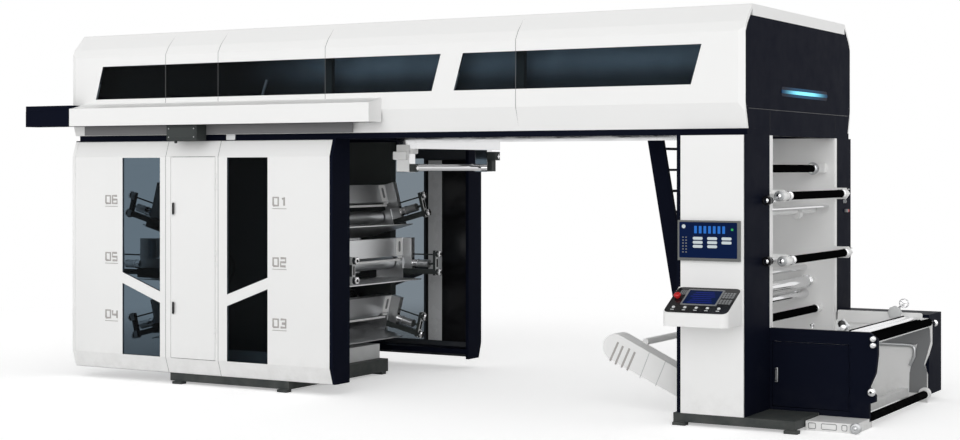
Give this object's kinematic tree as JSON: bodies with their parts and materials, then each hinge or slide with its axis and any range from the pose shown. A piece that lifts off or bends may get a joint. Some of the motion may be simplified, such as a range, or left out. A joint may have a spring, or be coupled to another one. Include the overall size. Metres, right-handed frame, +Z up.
{
  "type": "flexographic printing press, central impression",
  "caption": "Central impression flexographic press with print decks round a drum, an enclosed bridge over a gangway, a reel tower with operator desk, and a reel stand.",
  "frame": {"origin": "middle of the footprint on the floor", "axes": "+X along the machine from the print section to the reel stand, +Y from the operator's side to the drive side, +Z up"},
  "size_m": [9.961, 3.598, 4],
  "materials": {
    "white_panel": "smooth satin white paint",
    "navy_panel": "glossy blue-black paint",
    "tinted_glass": "blue-grey tinted safety glass",
    "dark_grey": "textured grey paint",
    "light_grey": "light grey paint",
    "chrome": "ground and chromed",
    "black_rubber": "ground rubber",
    "aluminium": "brushed",
    "screen": "lit display in a grey bezel"
  },
  "bodies": {
    "press": {"bridge_beams": "navy_panel", "bridge_floor": "white_panel", "bridge_front": "white_panel", "bridge_glass": "tinted_glass", "bridge_rear": "white_panel", "bridge_roof": "white_panel", "column_cover": "white_panel", "control_screen": "screen", "door_surround": "white_panel", "hoist_cover": "white_panel", "hoist_rail": "navy_panel", "housing_front_frame": "navy_panel", "housing_front_glass": "tinted_glass", "housing_front_panels": "white_panel", "housing_rear_frame": "navy_panel", "housing_rear_glass": "tinted_glass", "housing_rear_panel": "white_panel", "inspection_unit": "chrome", "operator_desk": "white_panel", "press_base": "dark_grey", "press_pedestal": "light_grey", "reel_arm": "white_panel", "side_frame_far": "dark_grey", "side_frame_near": "dark_grey", "stand_far_box": "navy_panel", "stand_frame": "white_panel", "stand_near_panel": "navy_panel", "tower_base": "dark_grey", "tower_cabinet": "navy_panel", "tower_cross_bars": "chrome", "tower_far_post": "navy_panel", "tower_head": "navy_panel", "tower_plate_far": "white_panel", "tower_plate_near": "white_panel", "web_ladder": "navy_panel"},
    "service_door": {"service_door": "white_panel"},
    "stand_door": {"stand_door": "navy_panel"},
    "hoist_trolley": {"hoist_trolley": "dark_grey"},
    "impression_drum": {"impression_drum": "chrome"},
    "print_deck_1": {"print_deck_1": "aluminium"},
    "plate_cylinder_1": {"plate_cylinder_1": "chrome"},
    "print_deck_2": {"print_deck_2": "aluminium"},
    "plate_cylinder_2": {"plate_cylinder_2": "chrome"},
    "print_deck_3": {"print_deck_3": "aluminium"},
    "plate_cylinder_3": {"plate_cylinder_3": "chrome"},
    "print_deck_6": {"print_deck_6": "aluminium"},
    "plate_cylinder_6": {"plate_cylinder_6": "chrome"},
    "print_deck_5": {"print_deck_5": "aluminium"},
    "plate_cylinder_5": {"plate_cylinder_5": "chrome"},
    "print_deck_4": {"print_deck_4": "aluminium"},
    "plate_cylinder_4": {"plate_cylinder_4": "chrome"},
    "guide_roller_top": {"guide_roller_top": "black_rubber"},
    "guide_roller_upper": {"guide_roller_upper": "black_rubber"},
    "guide_roller_middle": {"guide_roller_middle": "black_rubber"},
    "guide_roller_inner": {"guide_roller_inner": "chrome"},
    "guide_roller_lower": {"guide_roller_lower": "black_rubber"},
    "reel_roller_top": {"reel_roller_top": "black_rubber"},
    "reel_roller_low": {"reel_roller_low": "black_rubber"}
  },
  "joints": [
    {"name": "service_door_hinge", "type": "hinge", "parent": "press", "child": "service_door", "pos_m": [-2.327, -1.407, 1.434], "axis": [0, 0, 1], "range_deg": [0, 100]},
    {"name": "stand_door_hinge", "type": "hinge", "parent": "press", "child": "stand_door", "pos_m": [4.713, -0.737, 0.46], "axis": [0, 0, 1], "range_deg": [0, 110]},
    {"name": "hoist_trolley_slide", "type": "slide", "parent": "press", "child": "hoist_trolley", "axis": [1, 0, 0], "range_m": [-1.35, 2.2]},
    {"name": "impression_drum_turn", "type": "hinge", "parent": "press", "child": "impression_drum", "pos_m": [-2.6945, 0.199, 1.3], "axis": [0, 1, 0], "continuous": true},
    {"name": "print_deck_1_slide", "type": "slide", "parent": "press", "child": "print_deck_1", "axis": [0.9659, 0, 0.2588], "range_m": [0, 0.055]},
    {"name": "plate_cylinder_1_turn", "type": "hinge", "parent": "print_deck_1", "child": "plate_cylinder_1", "pos_m": [-1.98775, 0.199, 1.79], "axis": [0, 1, 0], "continuous": true},
    {"name": "print_deck_2_slide", "type": "slide", "parent": "press", "child": "print_deck_2", "axis": [1, 0, 0], "range_m": [0, 0.055]},
    {"name": "plate_cylinder_2_turn", "type": "hinge", "parent": "print_deck_2", "child": "plate_cylinder_2", "pos_m": [-1.8345, 0.199, 1.3], "axis": [0, 1, 0], "continuous": true},
    {"name": "print_deck_3_slide", "type": "slide", "parent": "press", "child": "print_deck_3", "axis": [0.9703, 0, -0.2419], "range_m": [0, 0.055]},
    {"name": "plate_cylinder_3_turn", "type": "hinge", "parent": "print_deck_3", "child": "plate_cylinder_3", "pos_m": [-2.03756, 0.199, 0.745], "axis": [0, 1, 0], "continuous": true},
    {"name": "print_deck_6_slide", "type": "slide", "parent": "press", "child": "print_deck_6", "axis": [-0.9659, 0, 0.2588], "range_m": [0, 0.055]},
    {"name": "plate_cylinder_6_turn", "type": "hinge", "parent": "print_deck_6", "child": "plate_cylinder_6", "pos_m": [-3.40125, 0.199, 1.79], "axis": [0, 1, 0], "continuous": true},
    {"name": "print_deck_5_slide", "type": "slide", "parent": "press", "child": "print_deck_5", "axis": [-1, 0, 0], "range_m": [0, 0.055]},
    {"name": "plate_cylinder_5_turn", "type": "hinge", "parent": "print_deck_5", "child": "plate_cylinder_5", "pos_m": [-3.5545, 0.199, 1.3], "axis": [0, 1, 0], "continuous": true},
    {"name": "print_deck_4_slide", "type": "slide", "parent": "press", "child": "print_deck_4", "axis": [-0.9703, 0, -0.2419], "range_m": [0, 0.055]},
    {"name": "plate_cylinder_4_turn", "type": "hinge", "parent": "print_deck_4", "child": "plate_cylinder_4", "pos_m": [-3.35144, 0.199, 0.745], "axis": [0, 1, 0], "continuous": true},
    {"name": "guide_roller_top_turn", "type": "hinge", "parent": "press", "child": "guide_roller_top", "pos_m": [3.7205, 0.294, 2.44], "axis": [0, 1, 0], "continuous": true},
    {"name": "guide_roller_upper_turn", "type": "hinge", "parent": "press", "child": "guide_roller_upper", "pos_m": [4.0405, 0.294, 2.175], "axis": [0, 1, 0], "continuous": true},
    {"name": "guide_roller_middle_turn", "type": "hinge", "parent": "press", "child": "guide_roller_middle", "pos_m": [4.0705, 0.294, 1.55], "axis": [0, 1, 0], "continuous": true},
    {"name": "guide_roller_inner_turn", "type": "hinge", "parent": "press", "child": "guide_roller_inner", "pos_m": [3.6605, 0.294, 1.24], "axis": [0, 1, 0], "continuous": true},
    {"name": "guide_roller_lower_turn", "type": "hinge", "parent": "press", "child": "guide_roller_lower", "pos_m": [3.7505, 0.294, 0.95], "axis": [0, 1, 0], "continuous": true},
    {"name": "reel_roller_top_turn", "type": "hinge", "parent": "press", "child": "reel_roller_top", "pos_m": [4.9205, 0.294, 0.84], "axis": [0, 1, 0], "continuous": true},
    {"name": "reel_roller_low_turn", "type": "hinge", "parent": "press", "child": "reel_roller_low", "pos_m": [4.8805, 0.294, 0.09], "axis": [0, 1, 0], "continuous": true}
  ]
}
